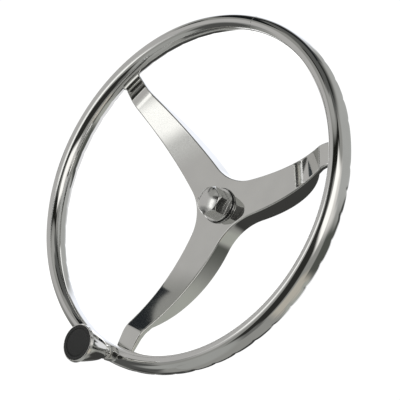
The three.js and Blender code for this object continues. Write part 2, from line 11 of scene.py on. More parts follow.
import bpy
import bmesh
from mathutils import Matrix, Vector


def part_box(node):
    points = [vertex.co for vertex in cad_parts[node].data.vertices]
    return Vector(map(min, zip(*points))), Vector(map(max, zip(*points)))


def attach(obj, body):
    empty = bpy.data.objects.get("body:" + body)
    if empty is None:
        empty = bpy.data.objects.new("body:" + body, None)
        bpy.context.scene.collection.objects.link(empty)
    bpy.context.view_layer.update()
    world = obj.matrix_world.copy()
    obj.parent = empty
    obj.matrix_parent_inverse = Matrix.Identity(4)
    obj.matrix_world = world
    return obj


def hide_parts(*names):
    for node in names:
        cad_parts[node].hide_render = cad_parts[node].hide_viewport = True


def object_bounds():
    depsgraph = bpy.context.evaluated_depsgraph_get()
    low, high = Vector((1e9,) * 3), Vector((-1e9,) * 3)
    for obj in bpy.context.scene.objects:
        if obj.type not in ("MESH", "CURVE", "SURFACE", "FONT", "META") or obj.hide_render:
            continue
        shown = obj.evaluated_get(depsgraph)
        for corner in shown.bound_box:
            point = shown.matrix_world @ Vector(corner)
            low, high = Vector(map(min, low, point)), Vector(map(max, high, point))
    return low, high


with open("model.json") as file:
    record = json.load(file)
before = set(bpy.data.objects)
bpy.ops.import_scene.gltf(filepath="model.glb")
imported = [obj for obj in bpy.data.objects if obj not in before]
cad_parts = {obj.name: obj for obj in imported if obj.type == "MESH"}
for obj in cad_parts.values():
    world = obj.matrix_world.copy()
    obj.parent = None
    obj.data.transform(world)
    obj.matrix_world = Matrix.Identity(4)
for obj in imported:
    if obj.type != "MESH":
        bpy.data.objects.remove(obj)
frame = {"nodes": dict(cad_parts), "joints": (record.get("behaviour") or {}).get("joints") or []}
cad_low, cad_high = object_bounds()

# ---- dimensions, in millimetres and degrees --------------------------------------------------

MM = 0.001
# A smaller length counts as none.
TINY = 1e-6
RIM_RADIUS = 187.6
RIM_HALF_WIDTH = 9.4
RIM_HALF_DEPTH = 13.0
GRIP_PITCH = 7.2
GRIP_HEIGHT = 1.0
# How much of the grips' height stands out on the rim's inner side.
GRIP_INNER_SHARE = 0.2
GRIP_PLAIN_ZONE = 5.5
SEAM_ANGLE = 90.0
SPOKE_ANGLES = (30, 150, 270)
HUB_FACE = 32.6
PLATE = 4.0
SKIRT_WALL = 3.5
SKIRT_FOOT = 10.8
FACE_BEND_START = 20.0
FACE_BEND_RADIUS = 230.0
TIP_BEND_RADIUS = 24.0
FOOT_BEND_START = 44.0
FOOT_BEND_RADIUS = 127.0
FOOT_BEND_END = 148.0
TONGUE_START = 159.0
# This is 2 mm short of the CAD model's, so that the ends don't show past the rim's edge.
TONGUE_END = 189.0
TONGUE_HALF_WIDTH = 11.7
TONGUE_CORNER = 4.0
TONGUE_THICKNESS = 4.2
HALF_WIDTH_HUB = 20.4
HALF_WIDTH_TIP = 12.5
HUB_FILLET_END = 41.0
VALLEY_RADIUS = 32.4
PLATE_HOLE = 9.0
HOLLOW_END = 138.0
# Pieces that touch keep this gap.
GAP = 0.3

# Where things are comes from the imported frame.
rim_low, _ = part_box("rim_tube")
RIM_PLANE = -rim_low.y / MM - RIM_HALF_DEPTH
TONGUE_FACE = RIM_PLANE - RIM_HALF_DEPTH - GAP
knob_joint = next(j for j in frame["joints"] if j["name"] == "knob_spin")
KNOB_CENTRE = (knob_joint["pos_m"][0] / MM, knob_joint["pos_m"][2] / MM)


def node_span(node):
    """Lowest and highest height of a CAD node towards the driver, in millimetres."""
    low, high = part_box(node)
    return -high.y / MM, -low.y / MM


# ---- node materials --------------------------------------------------------------------------


class Nodes:
    """A small helper that adds and links shader nodes."""

    def __init__(self, tree):
        self.tree = tree
        tree.nodes.clear()

    def add(self, kind, inputs=None, **settings):
        node = self.tree.nodes.new(kind)
        for key, value in settings.items():
            setattr(node, key, value)
        for key, value in (inputs or {}).items():
            self.put(node, key, value)
        return node

    def put(self, node, key, value):
        """Links a socket to an input, or sets the input's own value."""
        socket = node.inputs[key]
        if isinstance(value, bpy.types.NodeSocket):
            self.tree.links.new(value, socket)
        else:
            socket.default_value = value

    def math(self, operation, a, b=0.0):
        return self.add("ShaderNodeMath", {0: a, 1: b}, operation=operation).outputs[0]

    def coordinates(self, scale=(1, 1, 1)):
        """Object coordinates stretched by a scale along each axis."""
        coords = self.add("ShaderNodeTexCoord")
        mapping = self.add(
            "ShaderNodeMapping", {"Vector": coords.outputs["Object"], "Scale": scale})
        return mapping.outputs[0]

    def noise(self, vector, scale, detail=3.0, roughness=0.5):
        node = self.add("ShaderNodeTexNoise", {
            "Vector": vector, "Scale": scale, "Detail": detail, "Roughness": roughness})
        return node.outputs[0]

    def ranged(self, value, low, high, from_low=0.3, from_high=0.7):
        node = self.add("ShaderNodeMapRange", {
            "Value": value, "From Min": from_low, "From Max": from_high,
            "To Min": low, "To Max": high})
        return node.outputs[0]

    def blotches(self, value, dark, light):
        """A color between dark and light, as a noise's middle values run from low to high."""
        node = self.add("ShaderNodeValToRGB", {"Fac": value})
        for element, position, color in zip(node.color_ramp.elements, (0.3, 0.7), (dark, light)):
            element.position = position
            element.color = (*color, 1.0)
        return node.outputs[0]

    def bump(self, height, distance, **inputs):
        node = self.add("ShaderNodeBump", {
            "Height": height, "Strength": 1.0, "Distance": distance, **inputs})
        return node.outputs[0]


def empty_material(name):
    material = bpy.data.materials.new(name)
    material.use_nodes = True
    return material, Nodes(material.node_tree)


def new_material(name):
    """A material with a Principled shader, whose inputs the caller fills in."""
    material, nodes = empty_material(name)
    shader = nodes.add("ShaderNodeBsdfPrincipled")
    nodes.add("ShaderNodeOutputMaterial", {"Surface": shader.outputs[0]})
    return material, nodes, shader


def metal(name, light, dark, smooth, worn, scratch_scale, bump, wave=0.0):
    """Steel with fine directional polishing marks and a slight change of tone and gloss."""
    material, nodes, shader = new_material(name)
    cloud_scale, swell_scale = 35.0, 22.0
    marks_share, cloud_share = 0.6, 0.4
    marks = nodes.noise(nodes.coordinates(scratch_scale), 1.0, detail=4.0, roughness=0.6)
    cloud = nodes.noise(nodes.coordinates(), cloud_scale)
    nodes.put(shader, "Metallic", 1.0)
    nodes.put(shader, "Base Color", nodes.blotches(cloud, dark, light))
    gloss = nodes.math(
        "ADD", nodes.math("MULTIPLY", marks, marks_share),
        nodes.math("MULTIPLY", cloud, cloud_share))
    nodes.put(shader, "Roughness", nodes.ranged(gloss, smooth, worn, 0.35, 0.65))
    normal = nodes.bump(marks, bump)
    if wave:
        swell = nodes.noise(nodes.coordinates(), swell_scale, detail=1.0)
        normal = nodes.bump(swell, wave, Normal=normal)
    nodes.put(shader, "Normal", normal)
    return material


def moulded(name, light, dark, smooth, rough, grain, bump):
    """Moulded plastic or rubber with a fine matt grain."""
    material, nodes, shader = new_material(name)
    cloud_scale = 90.0
    speckle = nodes.noise(nodes.coordinates(), grain, detail=2.0)
    cloud = nodes.noise(nodes.coordinates(), cloud_scale)
    nodes.put(shader, "Base Color", nodes.blotches(cloud, dark, light))
    nodes.put(shader, "Roughness", nodes.ranged(cloud, smooth, rough))
    nodes.put(shader, "Normal", nodes.bump(speckle, bump))
    return material


MIRROR = metal(
    "polished_steel", (0.84, 0.84, 0.82), (0.79, 0.79, 0.775), 0.03, 0.065,
    (260, 260, 900), 2e-7, wave=6e-6)
MIRROR_RIM = metal(
    "polished_steel_rim", (0.85, 0.85, 0.84), (0.80, 0.80, 0.79), 0.03, 0.06,
    (500, 900, 500), 1.5e-7)
# The cap nut and its washer are a little less polished.
MIRROR_CROWN = metal(
    "polished_steel_crown", (0.84, 0.84, 0.83), (0.80, 0.80, 0.79), 0.10, 0.15,
    (300, 300, 300), 1e-7)
TURNED = metal(
    "turned_steel", (0.66, 0.67, 0.66), (0.52, 0.53, 0.53), 0.22, 0.38, (120, 5200, 120), 3e-6)
BEARING = metal(
    "bearing_steel", (0.62, 0.64, 0.66), (0.5, 0.51, 0.53), 0.16, 0.28, (200, 4200, 200), 2e-6)
BLACK_CAP = moulded(
    "black_plastic", (0.030, 0.031, 0.031), (0.020, 0.021, 0.021), 0.42, 0.56, 2600.0, 1.2e-5)
RUBBER = moulded(
    "black_rubber", (0.016, 0.016, 0.016), (0.009, 0.009, 0.009), 0.34, 0.5, 1800.0, 8e-6)
NYLON = moulded(
    "nylon", (0.82, 0.80, 0.73), (0.74, 0.72, 0.65), 0.36, 0.5, 1500.0, 6e-6)

# ---- mesh helpers ----------------------------------------------------------------------------


def to_frame(point):
    """Wheel axes in millimetres to the frame's axes in metres."""
    x, y, z = point
    return Vector((x * MM, -z * MM, y * MM))


def new_object(bm, name, material=None):
    """Makes a bmesh into an object in the scene."""
    mesh = bpy.data.meshes.new(name)
    bm.to_mesh(mesh)
    bm.free()
    if material:
        mesh.materials.append(material)
    thing = bpy.data.objects.new(name, mesh)
    bpy.context.scene.collection.objects.link(thing)
    return thing


def finish_piece(bm, name, body, replaced, material, weighted=True):
    """Turns a bmesh drawn in wheel axes into a smooth piece that rides on a body."""
    bmesh.ops.recalc_face_normals(bm, faces=bm.faces)
    for vertex in bm.verts:
        vertex.co = to_frame(vertex.co)
    piece = new_object(bm, name, material)
    piece.data.shade_smooth()
    if weighted:
        modifier = piece.modifiers.new("even_shading", "WEIGHTED_NORMAL")
        modifier.mode = "FACE_AREA"
        modifier.weight = 60
    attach(piece, body)
    if replaced:
        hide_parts(*replaced)
    return piece


def grid_faces(bm, rows, closed_rows=False, closed_columns=False):
    """Quads between rows of vertices. Equal vertices make triangles or nothing."""
    count = len(rows) if closed_rows else len(rows) - 1
    for i in range(count):
        row, after = rows[i], rows[(i + 1) % len(rows)]
        width = len(row) if closed_columns else len(row) - 1
        for j in range(width):
            k = (j + 1) % len(row)
            corners = []
            for vertex in (row[j], row[k], after[k], after[j]):
                if vertex not in corners:
                    corners.append(vertex)
            if len(corners) >= 3:
                bm.faces.new(corners)


def spread(low, high, count):
    """Evenly spread numbers from low to high, both ends included."""
    return [low + (high - low) * i / count for i in range(count + 1)]


def lathe(profile, segments=128, centre=(0.0, 0.0)):
    """A closed [radius, height] profile turned about an axis along z."""
    bm = bmesh.new()
    rows = []
    for radius, height in profile:
        if radius < TINY:
            axis_vertex = bm.verts.new((centre[0], centre[1], height))
            rows.append([axis_vertex] * segments)
            continue
        rows.append([
            bm.verts.new((
                centre[0] + radius * math.cos(2 * math.pi * i / segments),
                centre[1] + radius * math.sin(2 * math.pi * i / segments),
                height))
            for i in range(segments)])
    touches_axis = profile[0][0] < TINY and profile[-1][0] < TINY
    grid_faces(bm, rows, closed_rows=not touches_axis, closed_columns=True)
    return bm


def rounded(points, steps=5):
    """A profile of (radius, height, corner radius) points with its corners rounded."""
    most_of_edge = 0.49
    result = []
    count = len(points)
    for i, (x, y, corner) in enumerate(points):
        if corner <= 0:
            result.append((x, y))
            continue
        here = Vector((x, y))
        before = Vector(points[i - 1][:2]) - here
        after = Vector(points[(i + 1) % count][:2]) - here
        turn = before.angle(after)
        reach = min(
            corner / math.tan(turn / 2), before.length * most_of_edge, after.length * most_of_edge)
        start = here + before.normalized() * reach
        end = here + after.normalized() * reach
        for t in spread(0, 1, steps):
            point = start * (1 - t) ** 2 + here * 2 * t * (1 - t) + end * t ** 2
            result.append((point.x, point.y))
    return result


def smooth_line(points, steps):
    """A smooth curve through points (Catmull-Rom)."""
    padded = [points[0], *points, points[-1]]
    result = []
    for i in range(1, len(padded) - 2):
        p0, p1, p2, p3 = padded[i - 1:i + 3]
        for k in range(steps):
            t = k / steps
            result.append(tuple(
                0.5 * (2 * b + (c - a) * t + (2 * a - 5 * b + 4 * c - d) * t ** 2
                       + (3 * b - a - 3 * c + d) * t ** 3)
                for a, b, c, d in zip(p0, p1, p2, p3)))
    result.append(points[-1])
    return result


# ---- rim -------------------------------------------------------------------------------------


def degrees_apart(a, b):
    return abs((a - b + 180) % 360 - 180)


def from_spoke(degrees):
    """Degrees from the nearest spoke."""
    return min(degrees_apart(degrees, spoke) for spoke in SPOKE_ANGLES)


GRIP_NOTCHES = [
    notch for notch in (SPOKE_ANGLES[0] + GRIP_PITCH * k for k in range(round(360 / GRIP_PITCH)))
    if from_spoke(notch) > GRIP_PLAIN_ZONE]


def grip_swell(degrees):
    """How far the grips stand out behind the rim: long rounded swells between sharp notches."""
    notch_sharpness = 4
    from_notch = min(degrees_apart(degrees, notch) for notch in GRIP_NOTCHES)
    from_top = 1 - min(1.0, from_notch / (GRIP_PITCH / 2))
    return GRIP_HEIGHT * (1 - from_top ** notch_sharpness)


def rim_stations():
    """Angles round the rim, closer together at the seam's groove."""
    step = 0.6
    near_seam = (0.04, 0.08, 0.12, 0.18, 0.3)
    after = [SEAM_ANGLE + offset for offset in (0, *near_seam)]
    plain = [SEAM_ANGLE + step * i for i in range(1, int(360 / step))]
    before = [SEAM_ANGLE + 360 - offset for offset in reversed(near_seam)]
    return after + plain + before


def build_rim():
    """The rim's oval tube, with a fine groove at its seam and grips that swell behind it."""
    sides = 56
    groove_depth = 0.35
    groove_half_angle = 0.07
    rear_lead, rear_fade = 0.1, 0.5
    bm = bmesh.new()
    rows = []
    for degrees in rim_stations():
        phi = math.radians(degrees)
        from_seam = degrees_apart(degrees, SEAM_ANGLE)
        groove = groove_depth * math.exp(-((from_seam / groove_half_angle) ** 2))
        grip = grip_swell(degrees)
        # Beside a tongue the swell keeps to the rim's sides, clear of the weld.
        clear_of_spoke = max(0.0, from_spoke(degrees) - GRIP_PITCH + rear_lead)
        rear_share = min(1.0, clear_of_spoke / rear_fade)
        row = []
        for i in range(sides):
            psi = 2 * math.pi * i / sides
            rearward = max(0.0, -math.sin(psi))
            outward = math.cos(psi)
            swell = grip * math.sqrt(rearward)
            side_share = outward if outward > 0 else outward * GRIP_INNER_SHARE
            radius = RIM_RADIUS + (RIM_HALF_WIDTH - groove) * outward + swell * side_share
            height = (RIM_HALF_DEPTH - groove) * math.sin(psi) - swell * rearward * rear_share
            row.append(bm.verts.new((
                radius * math.cos(phi), radius * math.sin(phi), RIM_PLANE + height)))
        rows.append(row)
    grid_faces(bm, rows, closed_rows=True, closed_columns=True)
    finish_piece(bm, "rim", "wheel", ["rim_tube"], MIRROR_RIM, weighted=False)


# ---- spokes and hub --------------------------------------------------------------------------

FACE_SLOPE = math.acos(1 - (TONGUE_FACE - HUB_FACE) / (FACE_BEND_RADIUS + TIP_BEND_RADIUS))
SWEEP_END = FACE_BEND_START + FACE_BEND_RADIUS * math.sin(FACE_SLOPE)
TIP_BEND_END = SWEEP_END + TIP_BEND_RADIUS * math.sin(FACE_SLOPE)
SPOKE_TAPER = (HALF_WIDTH_HUB - HALF_WIDTH_TIP) / (TONGUE_START - HUB_FILLET_END)
CORNER_START = TONGUE_END - TONGUE_CORNER
# Half the angle between two spokes, and the angles of a quarter turn in steps, in radians.
HALF_SECTOR = math.pi / 3
QUARTER = [math.pi / 2 * k / 6 for k in range(7)]


def face_height(along):
    """Height of the spoke's face: level, swept up, then bent back level at its tongue."""
    if along <= FACE_BEND_START:
        return HUB_FACE
    if along <= SWEEP_END:
        run = along - FACE_BEND_START
        return HUB_FACE + FACE_BEND_RADIUS - math.sqrt(FACE_BEND_RADIUS ** 2 - run ** 2)
    left = max(0.0, TIP_BEND_END - along)
    return TONGUE_FACE - TIP_BEND_RADIUS + math.sqrt(TIP_BEND_RADIUS ** 2 - left ** 2)


def face_slope(along):
    """The face's angle to the hub plate, in radians."""
    if along <= FACE_BEND_START:
        return 0.0
    if along <= SWEEP_END:
        return math.asin((along - FACE_BEND_START) / FACE_BEND_RADIUS)
    return math.asin(min(1.0, max(0.0, TIP_BEND_END - along) / TIP_BEND_RADIUS))


def foot_arc(along):
    """Height of the side walls' lower edge, level at the hub and then swept up."""
    if along <= FOOT_BEND_START:
        return SKIRT_FOOT
    run = along - FOOT_BEND_START
    return SKIRT_FOOT + FOOT_BEND_RADIUS - math.sqrt(FOOT_BEND_RADIUS ** 2 - run ** 2)


# The lower edge runs out into the tongue's rear through these (distance along, height) points.
FOOT_POINTS = [
    (FOOT_BEND_END, foot_arc(FOOT_BEND_END)), (156.0, TONGUE_FACE - 8.6),
    (TIP_BEND_END - 3, TONGUE_FACE - 6.4), (179.0, TONGUE_FACE - TONGUE_THICKNESS)]


def foot_height(along):
    """Height of the side walls' lower edge, and of the tongue's rear."""
    if along <= FOOT_BEND_END:
        return foot_arc(along)
    for (a0, h0), (a1, h1) in zip(FOOT_POINTS, FOOT_POINTS[1:]):
        if along <= a1:
            return h0 + (h1 - h0) * (along - a0) / (a1 - a0)
    return FOOT_POINTS[-1][1]


def half_width(along):
    """Half the spoke's width beyond the hub's fillets."""
    if along <= TONGUE_START:
        return HALF_WIDTH_HUB - SPOKE_TAPER * (along - HUB_FILLET_END)
    if along <= CORNER_START:
        t = (along - TONGUE_START) / (CORNER_START - TONGUE_START)
        return HALF_WIDTH_TIP + (TONGUE_HALF_WIDTH - HALF_WIDTH_TIP) * t
    run = min(TONGUE_CORNER, along - CORNER_START)
    return TONGUE_HALF_WIDTH - TONGUE_CORNER + math.sqrt(TONGUE_CORNER ** 2 - run ** 2)


def fillet_ribs(edge_angle):
    """Ribs from the plate's hole to the round fillet between two spokes, as far as its end."""
    steps = 22
    outward = Vector((math.cos(HALF_SECTOR), math.sin(HALF_SECTOR)))
    valley = outward * VALLEY_RADIUS
    edge_normal = Vector((math.sin(edge_angle), math.cos(edge_angle)))
    on_edge = Vector((HUB_FILLET_END, HALF_WIDTH_HUB))
    fillet = (edge_normal.dot(on_edge) - edge_normal.dot(valley)) / (edge_normal.dot(outward) - 1)
    centre = valley + outward * fillet
    valley_angle = HALF_SECTOR + math.pi
    touch_angle = 1.5 * math.pi - edge_angle
    ribs = []
    for t in spread(0, 1, steps):
        angle = valley_angle + (touch_angle - valley_angle) * t
        toward = Vector((math.cos(angle), math.sin(angle)))
        hole_angle = HALF_SECTOR * (1 - t)
        inner = Vector((math.cos(hole_angle), math.sin(hole_angle))) * PLATE_HOLE
        ribs.append((inner, centre + toward * fillet, toward))
    return ribs


def spoke_ribs():
    """Ribs of half a spoke, from the hollow between two spokes to the tongue's end.
    Each is (inner end, outer edge point, direction into the metal), in plan."""
    edge_angle = math.atan(SPOKE_TAPER)
    ribs = fillet_ribs(edge_angle)
    # The next ribs' inner ends move out along the spoke's middle, until the ribs lie straight.
    touch = ribs[-1][1].x
    into = -Vector((math.sin(edge_angle), math.cos(edge_angle)))
    straight = 78.0
    for along in spread(touch, straight, 18)[1:]:
        t = (along - touch) / (straight - touch)
        inner = Vector((PLATE_HOLE + (straight - PLATE_HOLE) * t, 0))
        ribs.append((inner, Vector((along, half_width(along))), into))
    # The rib where the hollow ends comes twice, and the wall between the two closes the hollow.
    alongs = spread(straight, HOLLOW_END, 36)[1:] + [HOLLOW_END]
    # The ribs are closest together at the bend before the tongue.
    bend_from, bend_to = 150, 168
    for start, end, count in [
            (HOLLOW_END, bend_from, 8), (bend_from, bend_to, 22), (bend_to, CORNER_START, 10)]:
        alongs += spread(start, end, count)[1:]
    nudge = 0.01
    for along in alongs:
        slope = (half_width(along - nudge) - half_width(along + nudge)) / (2 * nudge)
        into = -Vector((slope, 1.0)).normalized()
        ribs.append((Vector((along, 0)), Vector((along, half_width(along))), into))
    # One direction serves all of the tongue's round corner.
    into = Vector((-0.3, -1.0)).normalized()
    for a in QUARTER[1:]:
        along = TONGUE_END - TONGUE_CORNER * (1 - math.sin(a))
        ribs.append((Vector((along, 0)), Vector((along, half_width(along))), into))
    return ribs


def rib_section(inner, edge, into, hollow):
    """Points of one rib: along the face, over the edge, down the side wall and back inside."""
    bevel = 1.5
    foot_round = 1.0
    inside_round = 2.0
    face_steps, wall_steps, inside_steps, roof_steps = 12, 5, 4, 8

    def at(inset, height_of):
        plan = edge + into * inset
        return (plan.x, plan.y, height_of(plan.x))

    def face_less(drop):
        return lambda along: face_height(along) - drop

    def foot_plus(rise):
        return lambda along: foot_height(along) + rise

    def roof(along):
        return face_height(along) - PLATE / math.cos(face_slope(along))

    points = []
    for t in spread(0, 1, face_steps):
        plan = inner.lerp(edge + into * bevel, t)
        points.append((plan.x, plan.y, face_height(plan.x)))
    for a in QUARTER[1:]:
        points.append(at(bevel * (1 - math.sin(a)), face_less(bevel * (1 - math.cos(a)))))
    top = points[-1][2]
    bottom = foot_height(edge.x) + foot_round
    for t in spread(0, 1, wall_steps)[1:]:
        points.append((edge.x, edge.y, top + (bottom - top) * t))
    for a in QUARTER[1:]:
        points.append(at(foot_round * (1 - math.cos(a)), foot_plus(foot_round * (1 - math.sin(a)))))
    inner_edge = SKIRT_WALL - foot_round
    for a in QUARTER:
        rise = foot_round * (1 - math.cos(a)) if hollow else 0.0
        points.append(at(inner_edge + foot_round * math.sin(a), foot_plus(rise)))
    # A solid rib keeps the same points, all level with its foot.
    plan = edge + into * SKIRT_WALL
    start = foot_height(plan.x) + foot_round
    end = max(roof(plan.x) - inside_round, start)
    for t in spread(0, 1, inside_steps)[1:]:
        height = start + (end - start) * t if hollow else foot_height(plan.x)
        points.append((plan.x, plan.y, height))
    for a in QUARTER[1:]:
        plan = edge + into * (SKIRT_WALL + inside_round * (1 - math.cos(a)))
        height = roof(plan.x) - inside_round * (1 - math.sin(a)) if hollow else foot_height(plan.x)
        points.append((plan.x, plan.y, height))
    start = edge + into * (SKIRT_WALL + inside_round)
    for t in spread(0, 1, roof_steps)[1:]:
        plan = start.lerp(inner, t)
        points.append((plan.x, plan.y, roof(plan.x) if hollow else foot_height(plan.x)))
    return points


def build_spider():
    """The hub's plate and three spokes, as six mirrored and turned half spokes joined up."""
    ribs = spoke_ribs()
    sections = []
    closed = False
    for inner, edge, into in ribs:
        hollow = edge.x <= HOLLOW_END and not closed
        sections.append(rib_section(inner, edge, into, hollow))
        closed = closed or abs(edge.x - HOLLOW_END) < TINY
    hole_ribs = sum(1 for inner, _, _ in ribs if abs(inner.length - PLATE_HOLE) < TINY)
    bm = bmesh.new()
    for angle in SPOKE_ANGLES:
        turn = Matrix.Rotation(math.radians(angle), 3, "Z")
        for side in (1, -1):
            rows = [
                [bm.verts.new(turn @ Vector((x, y * side, z))) for x, y, z in section]
                for section in sections]
            grid_faces(bm, rows)
            for row, after in zip(rows[:hole_ribs - 1], rows[1:]):
                bm.faces.new((row[0], after[0], after[-1], row[-1]))
            bm.faces.new(rows[-1])
    bmesh.ops.remove_doubles(bm, verts=bm.verts, dist=1e-3)
    bmesh.ops.dissolve_degenerate(bm, edges=bm.edges, dist=1e-4)
    finish_piece(bm, "hub_and_spokes", "wheel", ["hub_spider"], MIRROR)


def rim_rear(radius):
    """Height of the plain tube's rear surface at a distance from the wheel's axis."""
    across = min(1.0, abs(radius - RIM_RADIUS) / RIM_HALF_WIDTH)
    return RIM_PLANE - RIM_HALF_DEPTH * math.sqrt(1 - across * across)


def tongue_outline(start):
    """Points in plan along a tongue's sides and round its end, from one side to the other."""
    steps = 8
    half = TONGUE_HALF_WIDTH
    corner = TONGUE_CORNER
    path = [Vector((along, half)) for along in spread(start, CORNER_START, steps)]
    for k in range(1, steps):
        a = math.pi / 2 * k / steps
        path.append(Vector((
            CORNER_START + corner * math.sin(a), half - corner + corner * math.cos(a))))
    path += [Vector((TONGUE_END, across)) for across in spread(half - corner, 0, steps)]
    return path + [Vector((p.x, -p.y)) for p in reversed(path[:-1])]


def build_tongue_welds():
    """A rippled weld bead along both sides and round the end of each tongue, behind the rim."""
    bead_start = 182.5
    bead_radius = 0.5
    sunk = 0.35
    ripple_depth, ripple_turn = 0.05, 2.1
    end_size, fade_steps = 0.4, 2.5
    sides = 12
    path = tongue_outline(bead_start)
    last = len(path) - 1
    for number, angle in enumerate(SPOKE_ANGLES, 1):
        turn = Matrix.Rotation(math.radians(angle), 3, "Z")
        bm = bmesh.new()
        rows = []
        for i, point in enumerate(path):
            ahead = path[min(i + 1, last)] - path[max(i - 1, 0)]
            sideways = Vector((ahead.y, -ahead.x, 0)).normalized()
            ripple = 1 + ripple_depth * math.sin(i * ripple_turn)
            fade = min(1.0, (min(i, last - i) + end_size) / fade_steps)
            size = bead_radius * ripple * fade
            centre = Vector((point.x, point.y, rim_rear(point.length) - sunk))
            row = []
            for k in range(sides):
                a = 2 * math.pi * k / sides
                rise = Vector((0, 0, size * math.sin(a)))
                row.append(bm.verts.new(turn @ (centre + sideways * size * math.cos(a) + rise)))
            rows.append(row)
        grid_faces(bm, rows, closed_columns=True)
        bm.faces.new(rows[0])
        bm.faces.new(rows[-1])
        finish_piece(bm, f"tongue_weld_{number}", "wheel", [], TURNED)


def keyway_cutter(low, high):
    """A box through the boss, from its axis up to the keyway's top."""
    key_half_width, top, clearance = 2.4, 11.9, 4.0
    bm = bmesh.new()
    bmesh.ops.create_cube(bm, size=1.0)
    for vertex in bm.verts:
        x, y, z = vertex.co
        vertex.co = to_frame(Vector((
            x * 2 * key_half_width,
            (y + 0.5) * top,
            (z + 0.5) * (high - low + 2 * clearance) + low - clearance)))
    return new_object(bm, "keyway_cutter")


def build_boss():
    """The hub's boss, with its tapered bore and its keyway."""
    low, high = node_span("hub_boss")
    bore, taper, outer = 9.525, 1 / 24, 21.0
    profile = rounded([
        (bore, low, 0.5), (outer, low, 1.0), (outer, high, 0.4),
        (bore - (high - low) * taper, high, 0.3)])
    boss = finish_piece(
        lathe(profile, 96), "boss", "wheel", ["hub_boss"], TURNED)
    cutter = keyway_cutter(low, high)
    cut = boss.modifiers.new("keyway", "BOOLEAN")
    cut.object = cutter
    cut.operation = "DIFFERENCE"
    # The keyway is cut before the shading is evened out, and the result becomes the mesh.
    boss.modifiers.move(1, 0)
    bpy.context.view_layer.update()
    evaluated = boss.evaluated_get(bpy.context.evaluated_depsgraph_get())
    mesh = bpy.data.meshes.new_from_object(evaluated)
    boss.modifiers.clear()
    boss.data = mesh
    bpy.data.objects.remove(cutter)


# ---- cap nut, seal and washer ----------------------------------------------------------------


def soft_min(a, b, width):
    """The smaller of two numbers, rounded over where they are within a width of each other."""
    h = max(0.0, min(1.0, 0.5 + 0.5 * (b - a) / width))
    return b * (1 - h) + a * h - width * h * (1 - h)


def hex_radius(angle, across_flats, corner_round):
    """Radius of a hexagon with softened corners; a corner points straight up."""
    folded = angle % (math.pi / 3) - math.pi / 6
    flat = across_flats / 2
    a = flat / math.cos(folded - math.pi / 6)
    b = flat / math.cos(folded + math.pi / 6)
    return soft_min(a, b, corner_round)


def hex_angles():
    """Angles round a hexagon, closer together at its corners."""
    from_corner = [0.0, 0.4, 0.8, 1.2, 1.8, 2.6, 4.0, 6.5, 9.5, 13.0, 17.0, 21.5, 26.0]
    side = from_corner + [30.0] + [60.0 - a for a in reversed(from_corner[1:])]
    return [math.radians(30 + 60 * k + a) for k in range(6) for a in side]


def hex_body(profile, across_flats, centre, softness):
    """A hexagon cut by a turned profile, crisp where the two meet. The profile closes on itself or
    starts and ends on the axis, and its points wider than the hexagon are its flat sides."""
    bm = bmesh.new()
    rows = []
    angles = hex_angles()
    for radius, height in profile:
        if radius < TINY:
            rows.append([bm.verts.new((centre[0], centre[1], height))] * len(angles))
            continue
        row = []
        for angle in angles:
            r = soft_min(radius, hex_radius(angle, across_flats, softness), softness)
            row.append(bm.verts.new((
                centre[0] + r * math.cos(angle), centre[1] + r * math.sin(angle), height)))
        rows.append(row)
    grid_faces(bm, rows, closed_columns=True, closed_rows=profile[0][0] > TINY)
    return bm


def crown_profile(corner, wide, top):
    """The cap nut's crown, from its flats' top to the axis: steep shoulders, then a low dome."""
    dome_radius, dome_drop = 14.2, 3.3
    shoulder_drop, flat_drop = 6.4, 1.2
    short_of_dome, below_dome = 0.3, 0.35
    points = [(wide, top - shoulder_drop - flat_drop)]
    for t in spread(0, 1, 16):
        points.append((
            corner + (dome_radius + short_of_dome - corner) * t,
            top - shoulder_drop + (shoulder_drop - dome_drop - below_dome) * t))
    for share in (0.995, 0.97, 0.93, 0.86, 0.78, 0.7, 0.6, 0.5, 0.4, 0.3, 0.2, 0.1, 0.0):
        points.append((dome_radius * share, top - dome_drop * share ** 2))
    return points


def build_cap_nut():
    """The cap nut's hexagon with its crown, and below it the flange and the threaded spigot."""
    low, high = node_span("cap_nut")
    seal_top = node_span("cap_nut_seal")[1]
    flange_low = seal_top + GAP
    flange_thickness = 1.3
    flange_top = flange_low + flange_thickness
    flange_radius = 19.2
    flange_side, flange_bevel = 0.8, 0.7
    spigot = 17.6
    thread, thread_lead = 7.94, 0.2
    across_flats = 28.6
    corner = across_flats / math.sqrt(3)
    wide = corner + 0.8
    softness = 0.3
    sunk_in_flange = 0.4
    foot = flange_top - sunk_in_flange
    crown = crown_profile(corner, wide, high)
    sides = [(wide, h) for h in spread(foot, crown[0][1] - 0.1, 8)]
    hexagon = hex_body([(0.0, foot)] + sides + crown, across_flats, (0, 0), softness)
    finish_piece(
        hexagon, "cap_nut_crown", "wheel", ["cap_nut"], MIRROR_CROWN)
    flange = [(0.0, low + 1.0), (thread, low + 1.0), (thread, low + 0.3)]
    flange += rounded([
        (thread + thread_lead, low, 0.1), (spigot, low, 0.3), (spigot, flange_low, 0.1),
        (flange_radius, flange_low, 0.3), (flange_radius, flange_low + flange_side, 0.3),
        (flange_radius - flange_bevel, flange_top, 0.25), (corner, flange_top, 0)], 4)
    flange.append((0.0, flange_top))
    finish_piece(
        lathe(flange, 144), "cap_nut_flange", "wheel", [], MIRROR_CROWN)


def build_seal():
    """The O-ring under the cap nut's flange."""
    low, high = node_span("cap_nut_seal")
    radius = 18.8
    section = (high - low) / 2
    middle = (low + high) / 2
    steps = 20
    profile = []
    for k in range(steps):
        a = 2 * math.pi * k / steps
        profile.append((radius + section * math.cos(a), middle + section * math.sin(a)))
    finish_piece(
        lathe(profile), "seal_ring", "wheel", ["cap_nut_seal"], RUBBER,
        weighted=False)


